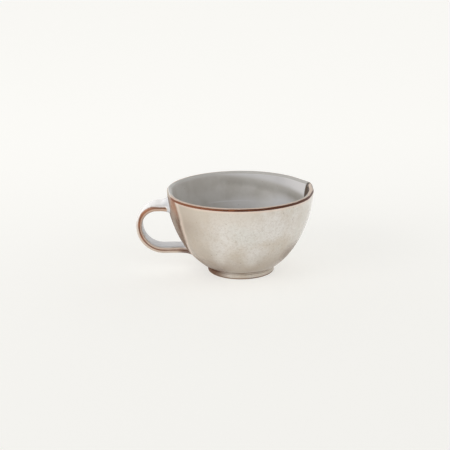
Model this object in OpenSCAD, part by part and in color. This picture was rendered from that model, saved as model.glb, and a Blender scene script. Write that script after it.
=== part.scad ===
// Wheel-thrown stoneware cappuccino cup: a wide flaring bowl on a foot ring, with a pulled
// strap handle luted on at two roots, and a skin of glaze over everything but the foot's rest.
// The cup stands on z = 0 with its axis on Z, and the handle points along -X.

/* [Bowl] */
// Outside diameter over the glaze at the rim
rim_d = 110; // [100:1:130]
// Height of the cup from the table to the top of the rim
cup_h = 62.8; // [58:0.2:80]
// Outside diameter of the bowl where its wall springs from the base
base_d = 56.4; // [53:0.2:64]
// Thickness of the wall with its glaze on both sides, which is also the thickness of the lip
wall_t = 3.6; // [2.6:0.1:5]
// Thickness of the base with the liner glaze on it
floor_t = 4.2; // [3:0.1:8]
// Radius of the round between the inside floor and the wall
well_r = 14; // [6:0.5:20]
// How much flatter than its chord the wall leaves the base, in degrees
low_lean = 27; // [18:0.5:28]
// How much steeper than its chord the wall reaches the rim, in degrees
high_lean = 20.5; // [15:0.5:22]

/* [Foot] */
// Outside diameter of the foot ring
foot_d = 50; // [40:0.5:52]
// Height of the foot ring
foot_h = 6; // [4:0.1:9]
// Width of the foot ring
foot_w = 5; // [3.6:0.1:8]
// Radius of the rounded lower edges of the foot ring
foot_edge_r = 0.9; // [0.4:0.1:1.4]
// Radius of the cove turned into the foot ring just under the bowl
cove_r = 1.4; // [0.8:0.1:1.6]
// Depth of that cove
cove_depth = 0.9; // [0.6:0.05:1]
// Height of the bare clay left under the glaze line of the foot
bare_h = 1.6; // [1.4:0.1:2.2]

/* [Handle] */
// How far the handle stands out past the rim
handle_out = 22.6; // [18:0.1:30]
// Depth of the handle's outermost point below the top of the rim
handle_drop = 27.1; // [24:0.1:30]
// Radius of the strap's middle line in its upper turn
upper_turn_r = 14.7; // [11:0.1:17]
// Height of the strap's middle line above the foot ring where its lower turn ends
lower_gap = 11.5; // [9:0.1:14]
// Fall of the upper run away from the bowl, in degrees
upper_fall = 3.5; // [0:0.5:12]
// Rise of the lower run towards the bowl, in degrees
lower_rise = 0; // [0:0.5:8]
// Width of the strap
strap_w = 15.5; // [10:0.1:20]
// Thickness of the strap with its glaze
strap_t = 5; // [3.6:0.1:6]
// Radius of the strap's rounded edges
strap_edge_r = 1.7; // [1:0.1:1.7]
// Length of the flared root at each end of the strap
root_len = 5.5; // [3:0.1:8]
// How much each face of a root has flared out where it meets the bowl
root_flare = 1.3; // [0.4:0.1:2]
// How much each edge of a root has spread sideways where it meets the bowl
root_spread = 4; // [0.6:0.1:6]

/* [Glaze] */
// Thickness of the glaze
glaze_t = 0.4; // [0.2:0.05:0.6]
// Radius of the pour mark, a brown tongue in the liner glaze below the rim opposite the handle
pour_mark_r = 15; // [8:0.5:20]

/* [Hidden] */
$fn = 180;

// Depth of a slice that a flared root is stretched from
slice_t = 0.1;
// Overlap that carries a cut clear of the faces it passes through
past = 1;
// Degrees by which each turn of the strap runs on before it is squared off at the outermost point
lap = 4;
// Sides of the rounded edges that a root is stretched from
root_fn = 24;
// Root lengths by which a flare runs on inside the wall
root_sink = 2;

// The wall's outside is two arcs with a common tangent, from the base to the lip. Angles are of the
// wall's tangent from the horizontal, and point(a) is the outward normal of a wall at that angle.
function point(a) = [sin(a), -cos(a)];
reach = rim_d;
chord_angle = atan2(cup_h - foot_h, (rim_d - base_d) / 2);
base_angle = chord_angle - low_lean;
rim_angle = chord_angle + high_lean;
blend_angle = (base_angle + rim_angle) / 2;
lip_r = wall_t / 2;
lip_c = [rim_d / 2 - lip_r, cup_h - lip_r];
base_p = [base_d / 2, foot_h];
lip_p = lip_c + lip_r * point(rim_angle);

// Radii of the two arcs: their steps outward and upward add up to the way from base to lip
low_step = point(blend_angle) - point(base_angle);
high_step = point(rim_angle) - point(blend_angle);
way = lip_p - base_p;
steps = low_step.x * high_step.y - high_step.x * low_step.y;
low_r = (way.x * high_step.y - way.y * high_step.x) / steps;
high_r = (low_step.x * way.y - low_step.y * way.x) / steps;
low_c = base_p - low_r * point(base_angle);
blend_p = low_c + low_r * point(blend_angle);
high_c = blend_p - high_r * point(blend_angle);

// Outside radius of the bowl at a height on its wall
function wall_x(z) = z < blend_p.y
    ? low_c.x + sqrt(low_r ^ 2 - (z - low_c.y) ^ 2)
    : high_c.x + sqrt(high_r ^ 2 - (z - high_c.y) ^ 2);

// Centre of the round between floor and wall inside the bowl, and where it runs into the wall
floor_z = foot_h + floor_t;
well_span = low_r - wall_t - well_r;
well_c = [low_c.x + sqrt(well_span ^ 2 - (floor_z + well_r - low_c.y) ^ 2), floor_z + well_r];
well_dir = (well_c - low_c) / well_span;

// The strap's middle line: a straight upper run, two turns that meet at the outermost point, and a
// straight lower run. The lower turn takes up the height that is left above the foot ring.
outer_x = -(rim_d / 2 + handle_out - strap_t / 2);
outer_z = cup_h - handle_drop;
lower_turn_r = (outer_z - foot_h - lower_gap) / cos(lower_rise);
upper_turn_c = [outer_x + upper_turn_r, outer_z];
lower_turn_c = [outer_x + lower_turn_r, outer_z];
upper_start = upper_turn_c + upper_turn_r * [-sin(upper_fall), cos(upper_fall)];
lower_end = lower_turn_c + lower_turn_r * [sin(lower_rise), -cos(lower_rise)];

// Length of a run that starts at p and climbs at an angle until its middle line meets the wall
function run_to_wall(p, climb, len = 0, tries = 12) = tries == 0
    ? len
    : run_to_wall(p, climb, (-wall_x(p.y + len * sin(climb)) - p.x) / cos(climb), tries - 1);
upper_run = run_to_wall(upper_start, upper_fall);
lower_run = run_to_wall(lower_end, lower_rise);

// The half of the profile plane above a height
module above(z) {
    translate([0, z]) square([reach, reach]);
}

// Everything inside the wall surface that lies "out" outside the bowl's finished surface
module inside_wall(out, z_low) {
    z_blend = blend_p.y - out * cos(blend_angle);
    intersection() {
        translate(low_c) circle(low_r + out);
        difference() {
            above(z_low);
            above(z_blend);
        }
    }
    intersection() {
        translate(high_c) circle(high_r + out);
        above(z_blend);
    }
}

// The hollow of the bowl, before the liner glaze where bare is glaze_t, and after it where bare is 0
module hollow(bare) {
    well_top = low_c.y + (low_r - wall_t + bare) * well_dir.y;
    inside_wall(bare - wall_t, well_top);
    difference() {
        union() {
            translate([0, floor_z - bare]) square([well_c.x, well_r]);
            intersection() {
                translate(well_c) circle(well_r + bare);
                above(floor_z - bare);
            }
        }
        above(well_top);
    }
}

// Everything past the line that squares off the top of the wall, where the round lip begins
module past_lip() {
    translate(lip_c) rotate(rim_angle - 90) translate([-reach, 0]) square([2 * reach, reach]);
}

// The round lip, out to radius r
module lip(r) {
    intersection() {
        translate(lip_c) circle(r);
        past_lip();
    }
}

// A rectangle with rounded corners
module rounded(size, r, fn = $fn) {
    square(size - [0, 2 * r], center = true);
    square(size - [2 * r, 0], center = true);
    for (x = [-1, 1], y = [-1, 1])
        translate([x * (size.x / 2 - r), y * (size.y / 2 - r)]) circle(r, $fn = fn);
}

// Cross section of the strap with a skin taken off it
module strap_section(skin, fn = $fn) {
    rounded([strap_t, strap_w] - 2 * skin * [1, 1], strap_edge_r - skin, fn);
}

// Cross section of a root at its far end inside the wall, where its flare has grown on
module root_section() {
    grown = 1 + root_sink;
    rounded([strap_t, strap_w] + 2 * grown * [root_flare, root_spread],
            strap_edge_r + grown * root_flare, root_fn);
}

// A frame at the centre of a turn, with its run at a distance along X and climbing along Z.
// The run lies above the centre where upper is 1 and below it where upper is 0.
module at_turn(centre, climb, upper) {
    translate([centre.x, 0, centre.y]) rotate([0, 90 - climb, 0]) mirror([upper, 0, 0]) children();
}

// Half of the strap: its run, and its turn past the outermost point. Its child is the section.
module half_strap(run, r, turn) {
    translate([r, 0, 0]) linear_extrude(run - root_len) children();
    rotate([90, 0, 0])
        mirror([0, 1, 0])
        rotate_extrude(angle = turn + lap)
        translate([r, 0]) children();
}

// Everything above the strap's outermost point
module above_outermost() {
    translate([-2 * reach, -reach, outer_z]) cube([2 * reach, 2 * reach, 2 * reach]);
}

// The strap from root to root, with its child as the section. The halves meet at the outermost point.
module strap_path() {
    intersection() {
        at_turn(upper_turn_c, upper_fall, 1)
            half_strap(upper_run, upper_turn_r, 90 - upper_fall) children();
        above_outermost();
    }
    difference() {
        at_turn(lower_turn_c, lower_rise, 0)
            half_strap(lower_run, lower_turn_r, 90 + lower_rise) children();
        above_outermost();
    }
}

// A flared root, from the end of a run to well inside the wall
module flare(run, r) {
    hull() {
        translate([r, 0, run - root_len]) linear_extrude(slice_t) strap_section(0, root_fn);
        translate([r, 0, run + root_sink * root_len]) linear_extrude(slice_t) root_section();
    }
}

module upper_flare() {
    at_turn(upper_turn_c, upper_fall, 1) flare(upper_run, upper_turn_r);
}

module lower_flare() {
    at_turn(lower_turn_c, lower_rise, 0) flare(lower_run, lower_turn_r);
}

// The bowl's clay outside, as one solid
module bowl_block() {
    rotate_extrude() inside_wall(-glaze_t, foot_h - past);
}

// The tongue that the pour mark fills, through the wall on the side away from the handle
module pour_tongue() {
    translate([0, 0, cup_h]) rotate([0, 90, 0]) cylinder(h = reach, r = pour_mark_r);
}

module liner_skin() {
    rotate_extrude() difference() {
        hollow(glaze_t);
        hollow(0);
        past_lip();
    }
}

module bowl() {
    color("tan") rotate_extrude() {
        difference() {
            inside_wall(-glaze_t, foot_h);
            hollow(glaze_t);
            past_lip();
        }
        lip(lip_r - glaze_t);
    }
}

module foot_ring() {
    outer = foot_d / 2;
    inner = outer - foot_w;
    color("peru") rotate_extrude() difference() {
        union() {
            translate([inner, foot_edge_r]) square([foot_w, foot_h - foot_edge_r]);
            translate([inner + foot_edge_r, 0]) square([foot_w - 2 * foot_edge_r, foot_h]);
            for (x = [inner + foot_edge_r, outer - foot_edge_r])
                translate([x, foot_edge_r]) circle(foot_edge_r);
        }
        cove();
        translate([outer - glaze_t, bare_h]) square([glaze_t + past, foot_h]);
    }
}

// The cove under the bowl, cut into the foot's outside
module cove() {
    translate([foot_d / 2 - cove_depth + cove_r, foot_h - cove_r]) circle(cove_r);
}

module strap() {
    color("burlywood") strap_path() strap_section(glaze_t);
}

module upper_root() {
    color("sienna") difference() {
        upper_flare();
        bowl_block();
    }
}

module lower_root() {
    color("sienna") difference() {
        lower_flare();
        bowl_block();
    }
}

module liner_glaze() {
    color("lightgray") difference() {
        liner_skin();
        pour_tongue();
    }
}

module outer_glaze() {
    color("antiquewhite") difference() {
        rotate_extrude() difference() {
            inside_wall(0, foot_h);
            inside_wall(-glaze_t, foot_h - past);
            past_lip();
        }
        upper_flare();
        lower_flare();
    }
}

module rim_band() {
    color("saddlebrown") rotate_extrude() difference() {
        lip(lip_r);
        lip(lip_r - glaze_t);
    }
}

module foot_glaze() {
    color("wheat") rotate_extrude() difference() {
        translate([foot_d / 2 - glaze_t, bare_h]) square([glaze_t, foot_h - cove_r - bare_h]);
        cove();
    }
}

module strap_glaze() {
    color("whitesmoke") strap_path() difference() {
        strap_section(0);
        strap_section(glaze_t);
    }
}

module pour_mark() {
    color("rosybrown") intersection() {
        liner_skin();
        pour_tongue();
    }
}

bowl();
foot_ring();
strap();
upper_root();
lower_root();
liner_glaze();
outer_glaze();
rim_band();
foot_glaze();
strap_glaze();
pour_mark();
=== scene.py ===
import math

import bmesh
import bpy
from mathutils import Matrix, Vector


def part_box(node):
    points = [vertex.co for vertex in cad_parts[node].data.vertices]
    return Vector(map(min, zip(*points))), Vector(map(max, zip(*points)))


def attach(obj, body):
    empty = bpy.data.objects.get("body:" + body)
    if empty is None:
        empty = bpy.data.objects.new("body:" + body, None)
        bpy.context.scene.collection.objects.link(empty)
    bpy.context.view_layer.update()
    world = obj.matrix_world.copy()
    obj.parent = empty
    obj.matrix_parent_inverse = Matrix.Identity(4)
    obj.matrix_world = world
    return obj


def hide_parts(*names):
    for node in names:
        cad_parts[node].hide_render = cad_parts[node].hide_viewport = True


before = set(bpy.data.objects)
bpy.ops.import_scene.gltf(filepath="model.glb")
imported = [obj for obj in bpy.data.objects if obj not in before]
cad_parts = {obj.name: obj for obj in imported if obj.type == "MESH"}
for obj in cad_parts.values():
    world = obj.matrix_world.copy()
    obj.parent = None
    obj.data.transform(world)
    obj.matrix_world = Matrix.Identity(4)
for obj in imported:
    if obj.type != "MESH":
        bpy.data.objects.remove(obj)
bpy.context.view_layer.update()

bl_info = {
    "name": "Cappuccino Cup",
    "version": (1, 0, 0),
    "blender": (4, 5, 0),
    "location": "View3D > Sidebar > Cup",
    "description": "Builds a wheel-thrown stoneware cup with a strap handle around its packed solids",
    "category": "Add Mesh",
}

MM = 0.001
BODY = "root"
# Two corners that lie closer than this are one
WELD = 1e-6
# Angle between two faces past which the edge between them is shaded sharp
CREASE = math.radians(38)


def paint(red, green, blue):
    """A linear colour from the 0 to 255 values that a picture shows."""
    def linear(value):
        value /= 255
        return value / 12.92 if value <= 0.04045 else ((value + 0.055) / 1.055) ** 2.4
    return linear(red), linear(green), linear(blue)


def cad_low(node):
    """The low corner of a CAD node's box, in millimetres."""
    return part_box(node)[0] / MM


def cad_high(node):
    """The high corner of a CAD node's box, in millimetres."""
    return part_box(node)[1] / MM


def length(name, description, default):
    """A length that a user can change. Its default is in millimetres."""
    return bpy.props.FloatProperty(
        name=name, description=description, default=default * MM, min=0, precision=5,
        subtype="DISTANCE", unit="LENGTH")


def angle(name, description, degrees):
    return bpy.props.FloatProperty(
        name=name, description=description, default=math.radians(degrees), subtype="ANGLE", unit="ROTATION")


def colour(name, description, *rgb):
    return bpy.props.FloatVectorProperty(
        name=name, description=description, default=paint(*rgb), size=3, min=0, max=1, subtype="COLOR")


class CupSizes(bpy.types.PropertyGroup):
    """Sizes of the cup, in metres."""

    rim_d: length("Rim Diameter", "Outside diameter at the rim", 2 * cad_high("rim_band").x)
    cup_h: length("Height", "Height of the rim above the table", cad_high("rim_band").z)
    base_d: length("Base Diameter", "Outside diameter where the wall leaves the base", 56.4)
    wall_t: length("Wall", "Thickness of the wall with its glaze", 3.6)
    floor_t: length("Floor", "Thickness of the base with its liner", 4.2)
    well_r: length("Well Radius", "Radius between floor and wall inside", 14)
    low_lean: angle("Low Lean", "How much flatter than its chord the wall leaves the base", 27)
    high_lean: angle("High Lean", "How much steeper than its chord the wall reaches the rim", 20.5)
    heel_r: length("Heel Radius", "Radius where the wall turns under to the foot", 4.5)
    foot_d: length("Foot Diameter", "Outside diameter of the foot ring", 2 * cad_high("foot_ring").x)
    foot_h: length("Foot Height", "Height of the foot ring", cad_high("foot_ring").z)
    foot_w: length("Foot Width", "Width of the foot ring", 5)
    foot_edge_r: length("Foot Edge", "Radius of the foot ring's lower edges", 0.9)
    cove_r: length("Cove Radius", "Radius of the cove under the bowl", 1.4)
    cove_depth: length("Cove Depth", "Depth of that cove", 0.9)
    bare_h: length("Bare Height", "Height of bare clay under the foot's glaze line", 0.95)
    handle_x: length("Handle Reach", "Distance from the axis to its outside", -cad_low("strap_glaze").x)
    handle_z: length("Handle Height", "Height of the handle's outermost point", 35.7)
    upper_turn_r: length("Upper Turn", "Radius of the strap's upper turn", 14.7)
    lower_turn_r: length("Lower Turn", "Radius of the strap's lower turn", 18.2)
    upper_fall: angle("Upper Fall", "Fall of the upper run away from the bowl", 3.5)
    lower_rise: angle("Lower Rise", "Rise of the lower run towards the bowl", 0)
    strap_w: length("Strap Width", "Width of the strap at the handle's outermost point", 14)
    strap_t: length("Strap Thickness", "Thickness of the strap along its middle", 5)
    strap_thin: length("Strap Thinning", "Thickness that the strap loses towards its edges", 0.5)
    strap_edge_r: length("Strap Edge", "Radius of the strap's rounded edges", 1.8)
    upper_spread: length("Upper Spread", "How much wider the strap is at its upper root", 8)
    lower_spread: length("Lower Spread", "How much wider the strap is at its lower root", 2.4)
    root_len: length("Root Length", "Length of the flared root at each end of the strap", 5.5)
    root_flare: length("Root Flare", "How far each face of a root flares at the bowl", 1.3)
    root_spread: length("Root Spread", "How far each edge of a root spreads at the bowl", 4)
    root_drip: length("Root Drip", "Extra flare under a root, where slip and glaze ran down", 2.6)
    root_rise: length("Root Rise", "Extra flare above the upper root", 2.6)
    foot_aside: length("Foot Aside", "How far off the bowl's axis the foot was turned", 0.8)
    press: length("Thumb Press", "How far a thumb pushed the rim out at the brown mark", 2)
    pinch: length("Thumb Pinch", "How far the rim came in beside that place", 0.6)
    pull: length("Handle Pull", "How far the rim came in beside the handle", 1.4)
    glaze_t: length("Glaze", "Thickness of the glaze", 0.4)
    pour_r: length("Pour Mark", "Radius of the brown mark inside the rim", 17.5)
    wave_pitch: length("Wave Pitch", "Distance between two throwing rings outside", 3.1)
    wave_depth: length("Wave Depth", "Depth of the throwing rings outside", 0.04)
    ring_pitch: length("Ring Pitch", "Distance between two throwing rings inside", 4.6)
    ring_depth: length("Ring Depth", "Depth of the throwing rings inside", 0.03)


class CupColours(bpy.types.PropertyGroup):
    """Colours of the cup's clay and glazes, and of the table."""

    pale: colour("Pale Glaze", "Thick, milky parts of the outer glaze", 224, 220, 214)
    cool: colour("Cool Glaze", "Greenish pools in the outer glaze", 205, 205, 195)
    tan: colour("Tan Glaze", "Thin parts of the outer glaze, where the clay warms it", 203, 192, 177)
    low: colour("Low Glaze", "Outer glaze near the foot", 174, 159, 142)
    speck: colour("Speck", "Iron specks that come through the glazes", 128, 108, 90)
    liner: colour("Liner Glaze", "Glaze inside the bowl", 186, 183, 178)
    # Painted shade as well: this colour darkens a band under the rim and the inner wall towards the handle
    thin_and_shaded_liner: colour("Thin Liner", "Liner glaze where it is thin over the rings", 168, 163, 155)
    # Painted light as well: the lit band under the rim and the highlight on one throwing ring
    pale_and_lit_liner: colour("Thick Liner", "Liner glaze where it is thick under the rim", 214, 213, 215)
    iron: colour("Iron Line", "Dark parts of the iron line round the lip", 82, 44, 27)
    rust: colour("Rust Line", "Warm parts of the iron line round the lip", 126, 75, 48)
    # Brown of the panel behind the handle and of patches low on the wall
    thin_iron: colour("Thin Iron", "Brown that shows through thin glaze by the handle", 104, 74, 56)
    lip: colour("Lip Top", "Top of the lip, where the glaze has drawn thin", 212, 190, 172)
    peach: colour("Peach", "Glow between an iron line and the pale glaze", 228, 203, 186)
    strap: colour("Strap Glaze", "Outer face of the strap", 240, 237, 236)
    # Painted shade: the strap's inner face, shut in by the loop and the bowl
    strap_inner_shade: colour("Inner Strap Glaze", "Inner face of the strap, thinly glazed", 181, 183, 187)
    strap_glow: colour("Strap Glow", "Thin glaze beside the brown of the strap's edges", 200, 182, 166)
    strap_iron: colour("Strap Iron", "Iron brown along the strap's edges", 112, 70, 46)
    strap_rust: colour("Strap Rust", "Lighter brown where the strap's edges catch more glaze", 176, 118, 84)
    pour: colour("Pour Mark", "Brown mark inside the rim", 78, 64, 50)
    clay: colour("Bare Clay", "Unglazed stoneware", 140, 116, 96)
    toast: colour("Toasted Clay", "Stoneware next to the glaze line", 104, 78, 60)
    table_far: colour("Table, Far", "Table behind the cup", 255, 254, 250)
    table_near: colour("Table, Near", "Table in front of the cup", 245, 244, 240)


# Shape helpers


def lean(climb):
    """The outward normal, in the XZ plane, of a wall that climbs at that angle."""
    return Vector((math.sin(climb), 0, -math.cos(climb)))


def climb_of(normal):
    """The angle at which a wall with that outward normal climbs."""
    return math.atan2(normal.x, -normal.z)


def cross(first, second):
    return first.x * second.z - first.z * second.x


def ease(value, start, end):
    """0 before start, 1 after end, and a smooth change between them."""
    share = min(max((value - start) / (end - start), 0), 1)
    return share * share * (3 - 2 * share)


class Pen:
    """Draws a chain of edges in the XZ plane, one line or arc after another."""

    # Lengths of its edges: on the wall, under the base, on rounds, on tighter edges, in the cove, on a bead
    STEP = 0.8 * MM
    UNDERSIDE = 0.35 * MM
    ROUND = 0.3 * MM
    EDGE = 0.2 * MM
    COVE = 0.12 * MM
    BEAD = 0.1 * MM
    # Steps of a full turn on the wheel
    FULL_TURN = 192

    def __init__(self, x, z):
        self.bm = bmesh.new()
        self.tip = self.bm.verts.new((x, 0, z))

    def line(self, x, z, step=STEP):
        way = Vector((x, 0, z)) - self.tip.co
        steps = max(1, math.ceil(way.length / step))
        for _ in range(steps):
            self.tip = bmesh.ops.extrude_vert_indiv(self.bm, verts=[self.tip])["verts"][0]
            bmesh.ops.translate(self.bm, verts=[self.tip], vec=way / steps)

    def arc(self, centre, turn, step=STEP):
        """Turns about a centre, anticlockwise with X to the right and Z up where the turn is positive."""
        reach = abs(turn) * (self.tip.co - centre).length
        made = bmesh.ops.spin(
            self.bm, geom=[self.tip], cent=centre, axis=(0, -1, 0), dvec=(0, 0, 0), angle=turn,
            steps=max(3, math.ceil(reach / step)))
        self.tip = next(item for item in made["geom_last"] if isinstance(item, bmesh.types.BMVert))

    def lathe(self):
        """Spins the chain all the way round the cup's axis, and closes its seam and poles."""
        bm = self.bm
        bmesh.ops.remove_doubles(bm, verts=bm.verts[:], dist=WELD)
        bmesh.ops.spin(bm, geom=bm.verts[:] + bm.edges[:], cent=(0, 0, 0), axis=(0, 0, 1), dvec=(0, 0, 0),
                       angle=math.tau, steps=self.FULL_TURN, use_merge=True)
        bmesh.ops.remove_doubles(bm, verts=bm.verts[:], dist=WELD)
        bmesh.ops.recalc_face_normals(bm, faces=bm.faces[:])
        return bm


class Wall:
    """The bowl's finished surfaces: two arcs with a common tangent, the lip, the well and the heel."""

    HALVINGS = 40

    def __init__(self, size):
        chord = math.atan2(size.cup_h - size.foot_h, (size.rim_d - size.base_d) / 2)
        self.base = chord - size.low_lean
        self.rim = chord + size.high_lean
        self.blend = (self.base + self.rim) / 2
        self.thick = size.wall_t
        self.lip_r = size.wall_t / 2
        self.lip_c = Vector((size.rim_d / 2 - self.lip_r, 0, size.cup_h - self.lip_r))
        start = Vector((size.base_d / 2, 0, size.foot_h))
        way = self.lip_c + self.lip_r * lean(self.rim) - start
        low_step = lean(self.blend) - lean(self.base)
        high_step = lean(self.rim) - lean(self.blend)
        self.low_r = cross(way, high_step) / cross(low_step, high_step)
        self.high_r = cross(low_step, way) / cross(low_step, high_step)
        self.low_c = start - self.low_r * lean(self.base)
        self.high_c = self.low_c + (self.low_r - self.high_r) * lean(self.blend)
        self.floor_z = size.foot_h + size.floor_t
        self.well_c = self.round_centre(self.low_r - size.wall_t - size.well_r, self.floor_z + size.well_r)
        self.well = climb_of(self.well_c - self.low_c)
        self.heel_c = self.round_centre(self.low_r - size.heel_r, size.foot_h + size.heel_r)
        self.heel = climb_of(self.heel_c - self.low_c)

    def round_centre(self, span, z):
        """The point at a height that lies a span away from the lower arc's centre."""
        return Vector((self.low_c.x + math.sqrt(span ** 2 - (z - self.low_c.z) ** 2), 0, z))

    def radius(self, z, depth=0):
        """Distance from the axis to the wall at a height, some depth under the finished outside."""
        blend_z = self.low_c.z - (self.low_r - depth) * math.cos(self.blend)
        centre, r = (self.low_c, self.low_r) if z < blend_z else (self.high_c, self.high_r)
        return centre.x + math.sqrt(max((r - depth) ** 2 - (z - centre.z) ** 2, 0))

    def up(self, pen, corner, angle, step=Pen.STEP):
        """Draws up the wall from a round at its foot, which is the heel outside and the well inside."""
        pen.arc(corner, angle, step)
        pen.arc(self.low_c, self.blend - angle)
        pen.arc(self.high_c, self.rim - self.blend)

    def down(self, pen, corner, angle, step=Pen.STEP):
        """Draws down the wall to a round at its foot."""
        pen.arc(self.high_c, self.blend - self.rim)
        pen.arc(self.low_c, angle - self.blend)
        pen.arc(corner, -angle, step)

    def reach(self, point, way):
        """How far a point travels along a way until it meets the bowl's outside."""
        near, far = 0, self.lip_c.x
        for _ in range(self.HALVINGS):
            middle = (near + far) / 2
            at = point + way * middle
            if math.hypot(at.x, at.y) > self.radius(at.z):
                near = middle
            else:
                far = middle
        return near


# Wobbles of a thrown piece: a mean, then waves round the cup, each with its height, count and phase
SHRINK = (0.0016, (0.0011, 2, 0.6), (0.0004, 3, 1.9))
DIP = (0.11 * MM, (0.06 * MM, 2, -0.8), (0.04 * MM, 3, 0.4))
MARK_OUTLINE = (0.91, (0.05, 1, 0), (0.04, 5, 2))
# Places on the rim: an angle round the cup's axis and its spread to each side, in degrees
THUMB = (17.5, 8)
BESIDE_THUMB = (-14, 9)
BESIDE_HANDLE = (187, 13)


def wobble(turn, mean, *waves):
    return mean + sum(height * math.cos(count * turn + phase) for height, count, phase in waves)


def bell(turn, middle, spread):
    """1 at a place on the rim, fading out on both sides of it."""
    away = (math.degrees(turn) - middle + 180) % 360 - 180
    return math.exp(-(away / spread) ** 2)


def hand_thrown(point, size):
    """Where a point of the bowl lies once the rim has dried a little oval and dipped, with one place
    pressed out by a thumb, and the foot has been turned a little off centre."""
    turn = math.atan2(point.y, point.x)
    high = ease(point.z, 0.25 * size.cup_h, size.cup_h)
    press = size.press * bell(turn, *THUMB) - size.pinch * bell(turn, *BESIDE_THUMB)
    press -= size.pull * bell(turn, *BESIDE_HANDLE)
    press *= ease(point.z, 0.7 * size.cup_h, 0.97 * size.cup_h)
    distance = max(math.hypot(point.x, point.y), WELD)
    grown = 1 - high * wobble(turn, *SHRINK) + press / distance
    aside = size.foot_aside * (1 - ease(point.z, 0.5 * size.foot_h, 3.4 * size.foot_h))
    return Vector((point.x * grown + aside, point.y * grown, point.z - high * wobble(turn, *DIP)))


def throw(bm, size):
    for vert in bm.verts:
        vert.co = hand_thrown(vert.co, size)
    bm.normal_update()
    return bm


def edges_of(geometry):
    return [item for item in geometry if isinstance(item, bmesh.types.BMEdge)]


def finish_piece(bm, name, slot, finish, *nodes):
    """Makes a mesh of the shape, gives it its finish and joins it to the frame."""
    bm.normal_update()
    for face in bm.faces:
        face.smooth = True
    for edge in bm.edges:
        edge.smooth = len(edge.link_faces) == 2 and edge.calc_face_angle() < CREASE
    mesh = bpy.data.meshes.new(name)
    bm.to_mesh(mesh)
    bm.free()
    mesh.materials.append(finish)
    piece = bpy.data.objects.new(name, mesh)
    bpy.context.scene.collection.objects.link(piece)
    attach(piece, BODY)
    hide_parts(*nodes)


# Shader helpers


def operation(kind, swapped=False):
    """A method that adds a Math node to a Value and another term, in the other order where swapped."""
    def method(self, *terms):
        return self.math(kind, *terms, self) if swapped else self.math(kind, self, *terms)
    return method


class Value:
    """A number socket that can stand in an expression. Each operation adds a Math node."""

    def __init__(self, tree, socket):
        self.tree = tree
        self.socket = socket

    def math(self, kind, *terms):
        made = self.tree.nodes.new("ShaderNodeMath")
        made.operation = kind
        for slot, term in zip(made.inputs, terms):
            plug(self.tree, slot, term)
        return Value(self.tree, made.outputs[0])

    __add__ = operation("ADD")
    __radd__ = operation("ADD", True)
    __sub__ = operation("SUBTRACT")
    __rsub__ = operation("SUBTRACT", True)
    __mul__ = operation("MULTIPLY")
    __rmul__ = operation("MULTIPLY", True)
    __abs__ = operation("ABSOLUTE")
    most = operation("MAXIMUM")
    least = operation("MINIMUM")
    # The angle of the direction with this value across and the other along
    around = operation("ARCTAN2")


def plug(tree, slot, value):
    """Links a socket to a value, or sets it."""
    if isinstance(value, Value):
        tree.links.new(value.socket, slot)
    elif slot.type == "RGBA":
        slot.default_value = (*value, 1)
    else:
        slot.default_value = value


class Nodes:
    """A node tree whose nodes are made, set up and joined in one call."""

    def __init__(self, tree):
        self.tree = tree

    def node(self, kind, settings=None, sockets=None, output=0):
        """Adds a node, sets it up, fills its sockets and gives back one output, or the node itself."""
        made = self.tree.nodes.new(kind)
        for name, value in (settings or {}).items():
            setattr(made, name, value)
        for name, value in (sockets or {}).items():
            plug(self.tree, made.inputs[name], value)
        return made if output is None else Value(self.tree, made.outputs[output])

    def parts(self, vector):
        """The three numbers of a vector."""
        split = self.node("ShaderNodeSeparateXYZ", None, {"Vector": vector}, None)
        return [Value(self.tree, socket) for socket in split.outputs]

    def fade(self, value, start, end):
        """0 at start, 1 at end and a smooth change between them."""
        return self.node("ShaderNodeMapRange", {"interpolation_type": "SMOOTHSTEP", "clamp": True}, {
            "Value": value, "From Min": start, "From Max": end, "To Min": 0, "To Max": 1})

    def hump(self, value, start, top, end):
        """0 at start and end, and 1 at the top between them."""
        return self.fade(value, start, top) * (1 - self.fade(value, top, end))


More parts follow.
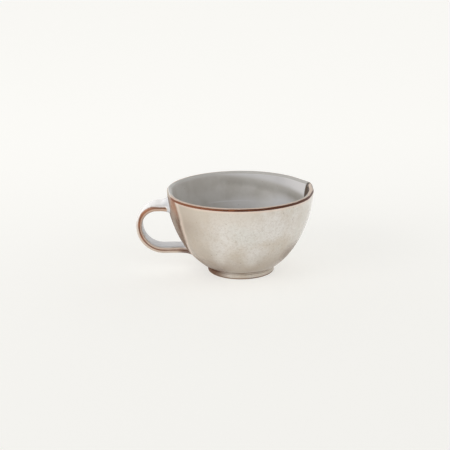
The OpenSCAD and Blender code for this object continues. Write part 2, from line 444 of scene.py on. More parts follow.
class Finish(Nodes):
    """A material with the few patterns that the clay and glazes use. Its lengths are in millimetres."""

    def __init__(self, name, shade=None):
        self.material = bpy.data.materials.new(name)
        self.material.use_nodes = True
        super().__init__(self.material.node_tree)
        self.shader = self.tree.nodes["Principled BSDF"]
        self.shade = shade
        metres = self.node("ShaderNodeTexCoord", output="Object")
        self.place = self.vector("DIVIDE", metres, (MM, MM, MM))
        self.x, self.y, self.z = self.parts(self.place)

    def vector(self, kind, *terms, output=0):
        return self.node("ShaderNodeVectorMath", {"operation": kind}, dict(enumerate(terms)), output)

    def cloud(self, grain, detail, roughness, drawn=1, distortion=0):
        """Noise with patches about grain across, drawn out along Z where drawn is under 1."""
        place = self.place
        if drawn != 1:
            place = self.node("ShaderNodeMapping", {"vector_type": "POINT"},
                              {"Vector": place, "Scale": (1, 1, drawn)})
        return self.node("ShaderNodeTexNoise", {"noise_dimensions": "3D"}, {
            "Vector": place, "Scale": 1 / grain, "Detail": detail, "Roughness": roughness,
            "Distortion": distortion})

    def specks(self, spacing, size, share):
        """Round specks in some of the cells of a grid, as a mask."""
        cells = self.node("ShaderNodeTexVoronoi", {"feature": "F1"},
                          {"Vector": self.place, "Scale": 1 / spacing, "Randomness": 1}, None)
        near = Value(self.tree, cells.outputs["Distance"])
        tint = Value(self.tree, cells.outputs["Color"])
        pick = self.node("ShaderNodeSeparateColor", None, {"Color": tint})
        chosen = self.fade(pick, 1 - share, 1 - share * 0.4)
        return (1 - self.fade(near, size * 0.35, size)) * chosen

    def mix(self, share, first, second, blend="MIX"):
        """One colour laid over another by a share."""
        return self.node("ShaderNodeMix", {"data_type": "RGBA", "blend_type": blend, "clamp_factor": True},
                         {0: share, 6: first, 7: second}, 2)

    def lay(self, share, tint, blend="MIX"):
        """Lays a colour over the material's shade by a share."""
        self.shade = self.mix(share, self.shade, tint, blend)

    def spot(self, centre, reach):
        """1 up to a quarter of the reach from a point, fading to 0 at the reach along each axis."""
        offset = self.vector("DIVIDE", self.vector("SUBTRACT", self.place, centre), reach)
        return 1 - self.fade(self.vector("LENGTH", offset, output="Value"), 0.25, 1)

    def attribute(self, name):
        return self.node("ShaderNodeAttribute", {"attribute_name": name}, None, "Fac")

    def close(self, roughness, height=None, depth=0, specular=0.5):
        """Hands the shade, roughness, bump and shine to the shader."""
        plug(self.tree, self.shader.inputs["Base Color"], self.shade)
        plug(self.tree, self.shader.inputs["Roughness"], roughness)
        self.shader.inputs["Specular IOR Level"].default_value = specular
        if height is not None:
            bump = self.node("ShaderNodeBump", None, {"Distance": depth * MM, "Height": height})
            plug(self.tree, self.shader.inputs["Normal"], bump)
        return self.material


# Finishes

# Specular level of the outer glaze on the wall and on the foot
WALL_GLOSS = 0.36
FOOT_GLOSS = 0.15
# Degrees in a radian
DEGREES = 180 / math.pi


def oatmeal_glaze(tone, name, gloss):
    """Milky stoneware glaze over a speckled body, pale in some patches and thin in tan ones."""
    f = Finish(name, tone.pale)
    broad = f.cloud(26, 2, 0.5)
    patch = f.cloud(7, 4, 0.65, distortion=0.4)
    runs = f.cloud(6, 3, 0.55, drawn=0.4)
    fine = f.cloud(1.6, 4, 0.65)
    grain = f.cloud(0.6, 2, 0.6)
    ragged = patch - 0.5
    # Pale patches on the front, thin places between them and on the handle's side
    pale_patches = f.spot((-17, -42, 27), (7, 24, 14)).most(f.spot((11, -42, 24), (8, 24, 13)))
    pale_patches = pale_patches.most(f.spot((8, -48, 46), (34, 26, 17)))
    bare = f.spot((-3, -42, 24), (9, 24, 10)).most(f.spot((28, -38, 33), (16, 24, 9)))
    bare = bare.most(1 - f.fade(f.x, -46, -18))
    thin = broad * 0.25 + patch * 0.45 + runs * 0.3 + bare * 0.08 - pale_patches * 0.12
    f.lay(f.fade(thin, 0.36, 0.70), tone.tan)
    f.lay(f.fade(broad - patch * 0.4, 0.26, 0.50) * 0.3, tone.cool)
    # Darker and browner towards the foot: partly thinner glaze, partly painted shade where the lower bowl
    # gets less light from above
    low = 1 - f.fade(f.z + ragged * 12 - abs(f.x - 2) * 0.2, 3, 31)
    f.lay(low * (0.45 + f.fade(f.z, 5, 9) * 0.45), tone.low)
    streaks = f.spot((-15, -37, 21), (6, 20, 13)).most(f.spot((7, -40, 21), (7, 20, 12)))
    f.lay(streaks * 0.45, tone.pale)
    # Brown that shows through low on the wall, to the left, to the right and over the foot
    low_left = f.spot((-31, -15, 12), (16, 24, 12)) * 0.75
    low_right = f.spot((36, -16, 20), (15, 24, 15)) * 0.6
    low_front = f.spot((-21, -26, 12), (20, 20, 10)) * (0.15 + patch * 0.45)
    browned = low_left.most(low_right).most(low_front)
    f.lay(browned, tone.thin_iron)
    f.lay(f.fade(fine, 0.42, 0.72) * 0.34, tone.low)
    f.lay(f.fade(grain, 0.52, 0.72) * 0.2, tone.speck)
    f.lay(f.specks(3.4, 0.22, 0.30) * 0.45, tone.speck)
    f.lay(f.specks(1.7, 0.26, 0.35) * 0.35, tone.speck)
    # Warmer towards the handle and under the rim, paler on the far side, peach next to the iron line
    f.lay((1 - f.fade(f.x + ragged * 16, -50, -6)) * 0.92, tone.low)
    f.lay(f.fade(f.z, 44, 57) * (1 - f.fade(f.x, 2, 34)) * 0.55, tone.tan)
    f.lay(f.fade(f.x + ragged * 10, 30, 52) * 0.5, tone.pale)
    f.lay(f.fade(f.z + ragged * 1.6, 58.6, 60.3) * f.fade(f.x, -50, -40) * 0.5, tone.peach)
    panel_brown = brown_behind_handle(f, tone, broad, patch, runs, fine)
    roughness = 0.08 + fine * 0.09 + panel_brown.most(browned) * 0.5
    return f.close(roughness, fine * 0.3 + grain * 0.1 + patch * 1.2, 0.04, gloss)


def brown_behind_handle(f, tone, broad, patch, runs, fine):
    """Lays the brown panel behind the handle, the brown heel and painted shade in the cove, and gives back
    how brown the panel and heel are.
    """
    # Degrees round the cup from the handle's middle, and the same with the panel's bowed, ragged margin
    away = abs(f.y.around(-1 * f.x)) * DEGREES + (runs - 0.5) * 4
    bow = f.z - 45
    wavy = (patch - 0.5) * 3 + (broad - 0.5) * f.fade(f.y, 0, 20) * 16
    ragged = away + wavy + bow * bow * 0.013 - 0.8
    tall = f.fade(f.z + (runs - 0.5) * 6, 3, 11)
    f.lay(f.hump(ragged, 33, 35.5, 39) * tall * f.fade(runs, 0.2, 0.5) * 0.5, tone.peach)
    f.lay(f.hump(ragged, 34, 40, 62) * f.fade(f.z, 30, 46) * 0.13, tone.thin_iron)
    panel = (1 - f.fade(ragged, 32, 34.5)) * tall
    # The margin's brown line, and painted shade along the middle behind the handle, which darkens the wall's
    # outline beside it
    margin = f.hump(ragged, 24, 31, 37).most(1 - f.fade(away, 15, 21))
    depth = 0.57 + margin * 0.22 + (runs - 0.5) * 0.8 + (fine - 0.5) * 0.4
    heel_side = 1 - f.fade(f.x + (patch - 0.5) * 10, -19, -7)
    heel = heel_side * (1 - f.fade(f.z + (patch - 0.5) * 5, 5.5, 12))
    panel_brown = (panel * depth).most(heel * 0.97).least(0.97)
    # Painted shade in the cove under the bowl
    cove_shade = f.hump(f.z, 3.6, 5.2, 6.8)
    f.lay(cove_shade * 0.8, tone.toast)
    f.lay(panel_brown, tone.thin_iron)
    f.lay(panel * f.fade(f.z, 46, 57) * f.fade(away, 19, 24) * 0.45, tone.strap_rust)
    return panel_brown


def liner_finish(tone):
    """Cool pale glaze inside the bowl, thinner and greyer over the throwing rings."""
    f = Finish("liner glaze", tone.liner)
    patch = f.cloud(12, 3, 0.55)
    fine = f.cloud(1.4, 4, 0.6)
    f.lay(f.fade(patch, 0.38, 0.66) * 0.6, tone.thin_and_shaded_liner)
    f.lay(f.fade(fine, 0.45, 0.8) * 0.15, tone.thin_and_shaded_liner)
    # A painted band of light under the rim, which deepens away from the handle as light from the left
    # reaches over the rim, and a painted band of shade under that
    slant = f.z + f.x.most(-15) * 0.13 + (patch - 0.5) * 3
    shade_under_lit_band = f.hump(slant, 50, 54.5, 59.5) * f.fade(f.x, -25, -5)
    f.lay(shade_under_lit_band * 0.28, tone.thin_and_shaded_liner, "MULTIPLY")
    thick = f.fade(slant, 57.2, 61.4)
    f.lay(thick * 0.65, tone.pale_and_lit_liner)
    # The brightest painted light, on the right under the rim
    f.lay(thick * f.fade(f.x, 28, 46) * 0.5, tone.strap)
    # A painted highlight along one throwing ring, painted shade high on the inner wall towards the handle,
    # and two lighter patches on the far side
    ring = f.hump(f.z + patch - 0.5, 39.2, 40, 40.8) * f.spot((-5, 44, 40), (24, 14, 14))
    f.lay(ring * 0.5, tone.pale_and_lit_liner)
    f.lay(f.spot((-28, 37, 54), (20, 18, 9)) * 0.45, tone.thin_and_shaded_liner)
    f.lay(f.spot((6, 46, 37), (26, 14, 8)) * 0.5, tone.pale_and_lit_liner)
    f.lay(f.spot((36, 33, 40), (26, 22, 10)) * 0.85, tone.pale_and_lit_liner)
    f.lay(f.specks(3.8, 0.16, 0.2) * 0.35, tone.speck)
    return f.close(0.24 + fine * 0.12, fine * 0.5 + patch, 0.05)


def iron_line_finish(tone):
    """Iron brown on the lip's outside, drawn thin and tan on its top, dark where the liner was poured."""
    f = Finish("iron line")
    lip = f.attribute("lip")
    wander = f.cloud(7, 2, 0.5) - 0.5
    fine = f.cloud(1.1, 3, 0.6)
    turn = f.y.around(f.x) * DEGREES
    far = f.fade(f.x, -52, 40)
    drawn = f.fade(f.x, -52, -49)
    rusty = far + wander * 1.2 + (fine - 0.5) * 0.5
    brown = f.mix(drawn, tone.low, f.mix(f.fade(rusty, 0.15, 0.75), tone.rust, tone.iron))
    top = f.mix(drawn, tone.pale, f.mix(f.fade(fine, 0.4, 0.75) * 0.4, tone.lip, tone.tan))
    poured = f.fade(turn + wander * 14, -24, -8) * (1 - f.fade(turn + wander * 3, 14.5, 18.5))
    inside = f.mix(poured, tone.liner, tone.pour)
    inner_edge = lip - (1 - far) * 0.08 + (1 - drawn) * 0.18 - poured * 0.3
    top = f.mix(f.fade(inner_edge, 0.44, 0.58), top, inside)
    outer_edge = lip + wander * 0.12 + (fine - 0.5) * 0.05 + (1 - far) * 0.04
    f.shade = f.mix(f.fade(outer_edge, 0.29, 0.37), brown, top)
    thumbed = f.fade(turn, 1, 7) * (1 - f.fade(turn, 16, 19))
    f.lay(thumbed * f.fade(lip + f.fade(turn, 11, 17) * 0.55, 0.76, 0.88), tone.pour)
    return f.close(0.36 + fine * 0.12, fine, 0.04, 0.2)


def strap_finish(tone, name):
    """Near-white glaze on the strap's faces, broken to iron brown along its edges."""
    f = Finish(name, tone.strap)
    side = f.attribute("side")
    wander = f.cloud(8, 2, 0.5)
    fine = f.cloud(1.2, 3, 0.6)
    patch = f.cloud(10, 3, 0.55)
    f.lay(f.fade(patch, 0.4, 0.7) * 0.3, tone.pale)
    # Painted shade on the inner face, and where the upper root meets the wall
    f.lay((1 - f.fade(side, -0.95, -0.4)) * 0.75, tone.strap_inner_shade)
    upper_root = f.fade(f.z, 36, 44)
    f.lay(f.fade(f.x, -59, -54) * upper_root * 0.6, tone.strap_inner_shade)
    f.lay(f.specks(3.2, 0.18, 0.2) * 0.4, tone.speck)
    # The pale glow along the edges, and the brown line in it, which lies higher up on the upper run
    kept = 1 - f.fade(f.x, -54.8, -52.5) * upper_root
    unevenly = (wander - 0.5) * 0.3 + (fine - 0.5) * 0.12
    edge = (1 - abs(side)) * kept + unevenly
    high = f.fade(f.z, 17, 53)
    corner = f.spot((-69, 0, 47), (11, 40, 9))
    middle = f.fade(f.z, 35, 51) * (0.42 - f.fade(f.x, -66, -57) * 0.1) - 0.12
    arris = (1 - abs(side - middle)) * kept + unevenly * 0.7 + corner * 0.1
    orange = (corner * 0.6).most(f.fade(wander + (fine - 0.5) * 0.5, 0.45, 0.75) * 0.6)
    joint = f.spot((-40, -8, 15), (8, 12, 8))
    brown = f.mix(joint, f.mix(orange, tone.strap_iron, tone.strap_rust), tone.iron)
    under = high * (1 - f.fade(side, -0.1, 0.25))
    # Painted light: on the upper run the outer half of each edge is painted near-white, where the top of the
    # strap catches more light
    glow = f.mix(high * f.fade(side, 0.1, 0.5) * 0.75, tone.strap_glow, tone.strap)
    f.lay(f.fade(edge, 0.12, 0.45), f.mix(under * 0.4, glow, tone.strap_rust))
    f.lay(f.fade(arris + high * 0.08, 0.72, 0.94), brown)
    f.lay(joint * f.fade(edge, 0.2, 0.5) * 0.8, brown)
    return f.close(0.17 + fine * 0.12, fine * 0.5 + patch, 0.06)


def pour_finish(tone):
    """Brown-grey glaze, streaked down the wall and thinning out into the liner round it."""
    f = Finish("pour mark glaze", tone.pour)
    runs = f.cloud(3, 3, 0.6, drawn=0.25)
    fine = f.cloud(1, 3, 0.6)
    f.lay(f.fade(runs, 0.4, 0.7) * 0.6, tone.toast)
    f.lay(f.fade(fine, 0.45, 0.75) * 0.3, tone.thin_and_shaded_liner)
    feathered = f.attribute("edge") + (runs - 0.5) * 0.4 + (fine - 0.5) * 0.3
    f.lay(f.fade(feathered, 0.88, 1.06), tone.liner)
    return f.close(0.45 + fine * 0.15, runs + fine * 0.4, 0.08, 0.12)


def clay_finish(tone):
    """Unglazed stoneware with dark grog, toasted in patches."""
    f = Finish("bare stoneware", tone.clay)
    patch = f.cloud(9, 3, 0.6)
    fine = f.cloud(0.8, 4, 0.65)
    f.lay(f.fade(patch, 0.35, 0.7), tone.toast)
    f.lay(f.fade(fine, 0.5, 0.8) * 0.5, tone.tan)
    f.lay(f.specks(1.8, 0.26, 0.4) * 0.6, tone.speck)
    return f.close(0.72 + fine * 0.2, fine + patch * 0.5, 0.12, 0.35)


# Bowl and foot

# Rings that the turning tool left under the base: the distance between two, and their depth
TOOL_PITCH = 1.5 * MM
TOOL_DEPTH = 0.1 * MM


def shape_bowl(size, wall):
    """The thrown clay: underside, wall, lip, inside and floor, all a glaze's depth under the finish."""
    skin = size.glaze_t
    seat = size.foot_d / 2 - skin
    pen = Pen(0, size.foot_h)
    pen.line(seat - skin, size.foot_h, Pen.UNDERSIDE)
    pen.line(seat, size.foot_h + skin)
    pen.line(wall.heel_c.x, size.foot_h + skin)
    wall.up(pen, wall.heel_c, wall.heel)
    pen.arc(wall.lip_c, math.pi, Pen.ROUND)
    wall.down(pen, wall.well_c, wall.well)
    pen.line(0, wall.floor_z - skin)
    bm = pen.lathe()
    for vert in bm.verts:
        distance = math.hypot(vert.co.x, vert.co.y)
        if vert.co.z < size.foot_h + WELD and distance < size.foot_d / 2 - size.foot_w:
            vert.co.z += TOOL_DEPTH / 2 * (1 - math.cos(math.tau * distance / TOOL_PITCH))
    return throw(bm, size)


def shape_foot_ring(size):
    """The turned foot: rounded where it stands, seated for its glaze, and coved under the bowl."""
    outer = size.foot_d / 2
    inner = outer - size.foot_w
    edge = size.foot_edge_r
    skin = size.glaze_t
    pen = Pen(inner, size.foot_h)
    pen.line(inner, edge)
    pen.arc(Vector((inner + edge, 0, edge)), math.pi / 2, Pen.EDGE)
    pen.line(outer - edge, 0)
    pen.arc(Vector((outer - edge, 0, edge)), math.pi / 2, Pen.EDGE)
    pen.line(outer, size.bare_h, Pen.ROUND)
    pen.line(outer - skin, size.bare_h)
    pen.line(outer - skin, size.foot_h - 2 * size.cove_r)
    pen.line(outer - size.cove_depth - skin, size.foot_h - size.cove_r)
    pen.line(outer - size.cove_depth - skin, size.foot_h)
    pen.line(inner, size.foot_h)
    return throw(pen.lathe(), size)


def cove_centre(size):
    return Vector((size.foot_d / 2 - size.cove_depth + size.cove_r, 0, size.foot_h - size.cove_r))


def shape_foot_glaze(size):
    """Glaze on the foot's side, from a soft bead above the bare clay up through the cove."""
    outer = size.foot_d / 2
    skin = size.glaze_t
    centre = cove_centre(size)
    reach = size.cove_r - size.cove_depth
    low = centre.z - math.sqrt(size.cove_r ** 2 - reach ** 2)
    start = math.atan2(low - centre.z, -reach)
    bead = 0.5 * skin
    pen = Pen(outer - skin, size.bare_h)
    pen.line(outer - bead, size.bare_h, Pen.BEAD)
    pen.arc(Vector((outer - bead, 0, size.bare_h + bead)), math.pi / 2, Pen.BEAD)
    pen.line(outer, low, Pen.ROUND)
    pen.arc(centre, -(start + 1.5 * math.pi), Pen.COVE)
    pen.line(centre.x, size.foot_h + skin, Pen.EDGE)
    inside = math.acos(-(reach + skin) / (size.cove_r + skin))
    pen.arc(centre, math.tau - inside - math.pi / 2, Pen.COVE)
    pen.line(outer - skin, size.bare_h, Pen.ROUND)
    return throw(pen.lathe(), size)


# Where the throwing rings fade in and where they fade out again, outside and inside
OUTER_RINGS = ((10 * MM, 18 * MM), (50 * MM, 57 * MM))
INNER_RINGS = ((14 * MM, 26 * MM), (48 * MM, 58 * MM))


def press_ring(vert, along, pitch, depth):
    """Sinks a point of a thrown surface by a spiral ring, from its distance along the surface."""
    wave = math.cos(math.tau * along / pitch - math.atan2(vert.co.y, vert.co.x))
    vert.co -= vert.normal * 0.5 * depth * (1 + wave)


def outwards(vert):
    """Positive where a point's surface faces away from the cup's axis."""
    return vert.normal.x * vert.co.x + vert.normal.y * vert.co.y


def shape_outer_glaze(size, wall):
    """Glaze from the cove, round the heel and up the wall to the lip, with faint throwing rings."""
    skin = size.glaze_t
    inner = cove_centre(size).x
    pen = Pen(inner, size.foot_h)
    pen.line(wall.heel_c.x, size.foot_h)
    wall.up(pen, wall.heel_c, wall.heel, Pen.ROUND)
    end = pen.tip.co - skin * lean(wall.rim)
    pen.line(end.x, end.z)
    wall.down(pen, wall.heel_c, wall.heel, Pen.ROUND)
    pen.line(inner, size.foot_h + skin)
    pen.line(inner, size.foot_h)
    bm = pen.lathe()
    for vert in bm.verts:
        if outwards(vert) > 0:
            calm = ease(vert.co.z, *OUTER_RINGS[0]) * (1 - ease(vert.co.z, *OUTER_RINGS[1]))
            press_ring(vert, vert.co.z, size.wave_pitch, calm * size.wave_depth)
    return throw(bm, size)


def shape_liner(size, wall):
    """Liner glaze over the floor, the well and the inner wall, with the spiral rings of throwing."""
    skin = size.glaze_t
    pen = Pen(0, wall.floor_z)
    pen.line(wall.well_c.x, wall.floor_z)
    wall.up(pen, wall.well_c, wall.well)
    end = pen.tip.co + skin * lean(wall.rim)
    pen.line(end.x, end.z)
    wall.down(pen, wall.well_c, wall.well)
    pen.line(0, wall.floor_z - skin)
    bm = pen.lathe()
    for vert in bm.verts:
        if outwards(vert) < 0 or vert.normal.z > 0.5:
            along = math.hypot(vert.co.x, vert.co.y) + vert.co.z
            calm = ease(along, *INNER_RINGS[0]) * (1 - ease(vert.co.z, *INNER_RINGS[1]))
            press_ring(vert, along, size.ring_pitch, calm * size.ring_depth)
    return throw(bm, size)


def shape_rim_band(size, wall):
    """The glaze over the round lip. Its attribute runs from 0 at the lip's outside to 1 at its inside."""
    start = wall.lip_c + wall.lip_r * lean(wall.rim)
    pen = Pen(start.x, start.z)
    pen.arc(wall.lip_c, math.pi, Pen.EDGE)
    end = pen.tip.co + size.glaze_t * lean(wall.rim)
    pen.line(end.x, end.z)
    pen.arc(wall.lip_c, -math.pi, Pen.EDGE)
    pen.line(start.x, start.z)
    bm = pen.lathe()
    layer = bm.verts.layers.float.new("lip")
    first = wall.rim - math.pi / 2
    for vert in bm.verts:
        across = math.hypot(vert.co.x, vert.co.y) - wall.lip_c.x
        passed = (math.atan2(vert.co.z - wall.lip_c.z, across) - first) % math.tau / math.pi
        vert[layer] = 0 if passed > 1.5 else passed
    return throw(bm, size)


# The brown mark: how far it stands out of the liner, and how thick it is
MARK_PROUD = 0.16 * MM
MARK_DEPTH = 0.3 * MM


def shape_pour_mark(size, wall):
    """A thin tongue of brown glaze over the liner, hung from the lip on the side away from the handle."""
    insets = 16
    bm = bmesh.new()
    layer = bm.verts.layers.float.new("edge")
    bmesh.ops.create_circle(bm, cap_ends=True, radius=size.pour_r, segments=96)
    for _ in range(insets):
        face = max(bm.faces, key=lambda each: len(each.verts))
        bmesh.ops.inset_individual(bm, faces=[face], thickness=size.pour_r / (insets + 1))
    for vert in bm.verts:
        vert[layer] = min(math.hypot(vert.co.x, vert.co.y) / size.pour_r, 1)
        vert.co *= wobble(math.atan2(vert.co.y, vert.co.x), *MARK_OUTLINE)
    bmesh.ops.bisect_plane(bm, geom=bm.verts[:] + bm.edges[:] + bm.faces[:], dist=WELD, plane_co=(0, 0, 0),
                           plane_no=(0, 1, 0), clear_outer=True)
    for vert in bm.verts:
        y, z = vert.co.x, wall.lip_c.z + vert.co.y
        proud = MARK_PROUD * (1 - ease(vert[layer], 0.9, 1))
        reach = wall.radius(z, wall.thick) - proud
        vert.co = Vector((math.sqrt(reach ** 2 - y ** 2), y, z))
    bmesh.ops.recalc_face_normals(bm, faces=bm.faces[:])
    if sum(face.normal.x for face in bm.faces) > 0:
        bmesh.ops.reverse_faces(bm, faces=bm.faces[:])
    bm.normal_update()
    bmesh.ops.solidify(bm, geom=bm.faces[:], thickness=MARK_DEPTH)
    return throw(bm, size)


# Handle

# Distances along the strap from its outermost point between which it widens
WIDENING = (6 * MM, 30 * MM)
# How far a root reaches into the wall, and the share of its flare that it loses towards its sides
ROOT_SUNK = 1.2 * MM
ROOT_ARCH = 0.8


class Run:
    """Half of the strap's middle line: from its outermost point, round a turn and straight to a root."""

    def __init__(self, size, wall, outer, up, radius, slope, spread):
        self.up = up
        self.spread = spread
        self.centre = outer + Vector((radius, 0, 0))
        self.turn = slope - up * math.pi / 2
        self.way = Vector((math.cos(slope), 0, math.sin(slope)))
        self.thick = Vector((-math.sin(slope), 0, math.cos(slope)))
        start = self.centre + up * radius * self.thick
        self.length = wall.reach(start, self.way) - size.root_len
        self.root = start + self.way * self.length


class Strap:
    """A pulled strap, carried both ways from its outermost point to the roots that join it to the bowl."""

    CUTS = 10
    TURN_STEPS = 36
    RUN_STEPS = 8
    ROOT_STEPS = 14

    def __init__(self, size, wall):
        self.size = size
        self.wall = wall
        self.outer = Vector((-(size.handle_x - size.strap_t / 2), 0, size.handle_z))
        self.upper = Run(size, wall, self.outer, 1, size.upper_turn_r, size.upper_fall, size.upper_spread)
        self.lower = Run(size, wall, self.outer, -1, size.lower_turn_r, size.lower_rise, size.lower_spread)

    def section(self, bm, skin=0):
        """The strap's rounded section at its outermost point, as a ring of edges with its face taken out."""
        size = self.size
        half_t = size.strap_t / 2 - skin
        half_w = size.strap_w / 2 - skin
        start = len(bm.verts)
        made = bmesh.ops.create_grid(bm, x_segments=1, y_segments=1, size=1)
        bmesh.ops.scale(bm, vec=(half_t, half_w, 1), verts=made["verts"])
        bmesh.ops.bevel(bm, geom=made["verts"], offset=size.strap_edge_r - skin, affect="VERTICES",
                        segments=self.CUTS, profile=0.5, material=-1)
        bm.verts.ensure_lookup_table()
        face = bm.verts[start].link_faces[0]
        long_edges = [edge for edge in face.edges if edge.calc_length() > half_w]
        # The face goes first, because a subdivision would cut it across
        bmesh.ops.delete(bm, geom=[face], context="FACES_ONLY")
        bmesh.ops.subdivide_edges(bm, edges=long_edges, cuts=self.CUTS)
        bm.verts.ensure_lookup_table()
        ring = bm.verts[start:]
        edges = list(dict.fromkeys(edge for vert in ring for edge in vert.link_edges))
        for vert in ring:
            lost = 0.5 * size.strap_thin * (vert.co.y / half_w) ** 2
            vert.co.x *= 1 - lost / half_t
        bmesh.ops.translate(bm, verts=ring, vec=self.outer)
        return ring, edges

    def mark(self, bm, ring):
        """Keeps each point's place round the section: 1 on the outer face, 0 on an edge, -1 on the inner."""
        layer = bm.verts.layers.float["side"]
        half = self.size.strap_w / 2 - self.size.strap_edge_r
        for vert in ring:
            inward = vert.co.x - self.outer.x
            vert[layer] = math.atan2(-inward, max(abs(vert.co.y) - half, 0)) / (math.pi / 2)

    def sweep(self, bm, ring, edges):
        """Carries a section both ways from the outermost point, round the turns and along the runs."""
        ends = []
        for run in (self.upper, self.lower):
            made = bmesh.ops.spin(bm, geom=ring + edges, cent=run.centre, axis=(0, -1, 0), dvec=(0, 0, 0),
                                  angle=run.turn, steps=self.TURN_STEPS)
            made = bmesh.ops.spin(bm, geom=made["geom_last"], cent=run.centre, axis=(0, -1, 0),
                                  dvec=run.way * run.length / self.RUN_STEPS, angle=0, steps=self.RUN_STEPS)
            ends.append(edges_of(made["geom_last"]))
        return ends

    def width_at(self, point):
        """Share of its narrowest width that the strap has abreast of a point."""
        run = self.upper if point.z > self.outer.z else self.lower
        across = max(run.centre.x - point.x, 0)
        passed = (run.centre - self.outer).length * math.atan2(abs(point.z - run.centre.z), across)
        passed += max(point.x - run.centre.x, 0)
        return 1 + run.spread / self.size.strap_w * ease(passed, *WIDENING)

    def taper(self, bm):
        """Turns the faces outwards and widens the strap towards its roots."""
        bmesh.ops.recalc_face_normals(bm, faces=bm.faces[:])
        for vert in bm.verts:
            vert.co.y *= self.width_at(vert.co)
        return bm


def shape_strap_clay(strap):
    bm = bmesh.new()
    ring, edges = strap.section(bm, strap.size.glaze_t)
    for end in strap.sweep(bm, ring, edges):
        bmesh.ops.edgeloop_fill(bm, edges=end)
    return strap.taper(bm)


def shape_strap_glaze(strap):
    """A sleeve of glaze round the strap's clay, open at the roots."""
    bm = bmesh.new()
    bm.verts.layers.float.new("side")
    skins = []
    for depth in (0, strap.size.glaze_t):
        # The skins face opposite ways, because a bridge between two that face the same way is twisted
        bmesh.ops.reverse_faces(bm, faces=bm.faces[:])
        ring, edges = strap.section(bm, depth)
        strap.mark(bm, ring)
        skins.append(strap.sweep(bm, ring, edges))
    for outer, inner in zip(*skins):
        bmesh.ops.bridge_loops(bm, edges=outer + inner)
    return strap.taper(bm)


def shape_root(strap, run):
    """A flared joint: the strap's section run on to the wall, spreading like the fillet of slip round it."""
    size = strap.size
    bm = bmesh.new()
    bm.verts.layers.float.new("side")
    ring, edges = strap.section(bm)
    strap.mark(bm, ring)
    bmesh.ops.rotate(bm, verts=ring, cent=run.centre, matrix=Matrix.Rotation(run.turn, 3, (0, -1, 0)))
    bmesh.ops.translate(bm, verts=ring, vec=run.way * run.length)
    made = bmesh.ops.spin(bm, geom=ring + edges, cent=run.centre, axis=(0, -1, 0), angle=0,
                          dvec=run.way * size.root_len / strap.ROOT_STEPS, steps=strap.ROOT_STEPS)
    for end in (edges, edges_of(made["geom_last"])):
        bmesh.ops.edgeloop_fill(bm, edges=end)
    strap.taper(bm)
    half_w = size.strap_w / 2 * strap.width_at(run.root + run.thick * MM * run.up)
    for vert in bm.verts:
        offset = vert.co - run.root
        share = min(max(offset.dot(run.way) / size.root_len, 0), 1)
        up = offset.dot(run.thick)
        side = offset.y
        flare = size.root_flare + (size.root_drip if up < 0 else size.root_rise if run.up > 0 else 0)
        arched = 1 - ROOT_ARCH * min(abs(side) / half_w, 1) ** 2
        rise = run.thick * flare * arched * up / (size.strap_t / 2)
        shift = Vector((0, size.root_spread * side / half_w, 0))
        foot = run.root + run.thick * up + Vector((0, side, 0))
        travel = strap.wall.reach(foot + rise + shift, run.way) + ROOT_SUNK
        vert.co = foot + run.way * (travel * share) + (rise + shift) * share ** 2
    return bm


# Operators


class CupOperator:
    """What every piece's operator starts from."""

    bl_options = {"REGISTER", "UNDO"}

    def sizes(self, context):
        size = context.scene.cup_sizes
        return size, Wall(size), context.scene.cup_colours


class CUP_OT_bowl(CupOperator, bpy.types.Operator):
    """Throw the bowl's clay"""

    bl_idname = "cup.bowl"
    bl_label = "Bowl"

    def execute(self, context):
        size, wall, tone = self.sizes(context)
        finish_piece(shape_bowl(size, wall), "bowl_clay", "stoneware", clay_finish(tone), "bowl")
        return {"FINISHED"}


class CUP_OT_foot(CupOperator, bpy.types.Operator):
    """Turn the foot ring and glaze its side"""

    bl_idname = "cup.foot"
    bl_label = "Foot"

    def execute(self, context):
        size, _, tone = self.sizes(context)
        finish_piece(shape_foot_ring(size), "foot_ring_clay", "stoneware", clay_finish(tone), "foot_ring")
        finish_piece(shape_foot_glaze(size), "foot_glaze_skin", "outer_glaze",
                     oatmeal_glaze(tone, "foot glaze", FOOT_GLOSS), "foot_glaze")
        return {"FINISHED"}


class CUP_OT_outer_glaze(CupOperator, bpy.types.Operator):
    """Glaze the outside of the wall"""

    bl_idname = "cup.outer_glaze"
    bl_label = "Outer Glaze"

    def execute(self, context):
        size, wall, tone = self.sizes(context)
        finish_piece(shape_outer_glaze(size, wall), "outer_glaze_skin", "outer_glaze",
                     oatmeal_glaze(tone, "oatmeal glaze", WALL_GLOSS), "outer_glaze")
        return {"FINISHED"}


class CUP_OT_liner(CupOperator, bpy.types.Operator):
    """Line the inside with glaze"""

    bl_idname = "cup.liner"
    bl_label = "Liner Glaze"

    def execute(self, context):
        size, wall, tone = self.sizes(context)
        finish_piece(shape_liner(size, wall), "liner_glaze_skin", "liner_glaze",
                     liner_finish(tone), "liner_glaze")
        return {"FINISHED"}


class CUP_OT_rim_band(CupOperator, bpy.types.Operator):
    """Draw the iron line round the lip"""

    bl_idname = "cup.rim_band"
    bl_label = "Iron Line"

    def execute(self, context):
        size, wall, tone = self.sizes(context)
        finish_piece(shape_rim_band(size, wall), "rim_iron_line", "iron_glaze",
                     iron_line_finish(tone), "rim_band")
        return {"FINISHED"}


class CUP_OT_strap(CupOperator, bpy.types.Operator):
    """Pull the strap handle and glaze it"""

    bl_idname = "cup.strap"
    bl_label = "Strap Handle"

    def execute(self, context):
        size, wall, tone = self.sizes(context)
        strap = Strap(size, wall)
        finish_piece(shape_strap_clay(strap), "strap_clay", "stoneware", clay_finish(tone), "strap")
        finish_piece(shape_strap_glaze(strap), "strap_glaze_skin", "strap_glaze",
                     strap_finish(tone, "strap glaze"), "strap_glaze")
        return {"FINISHED"}


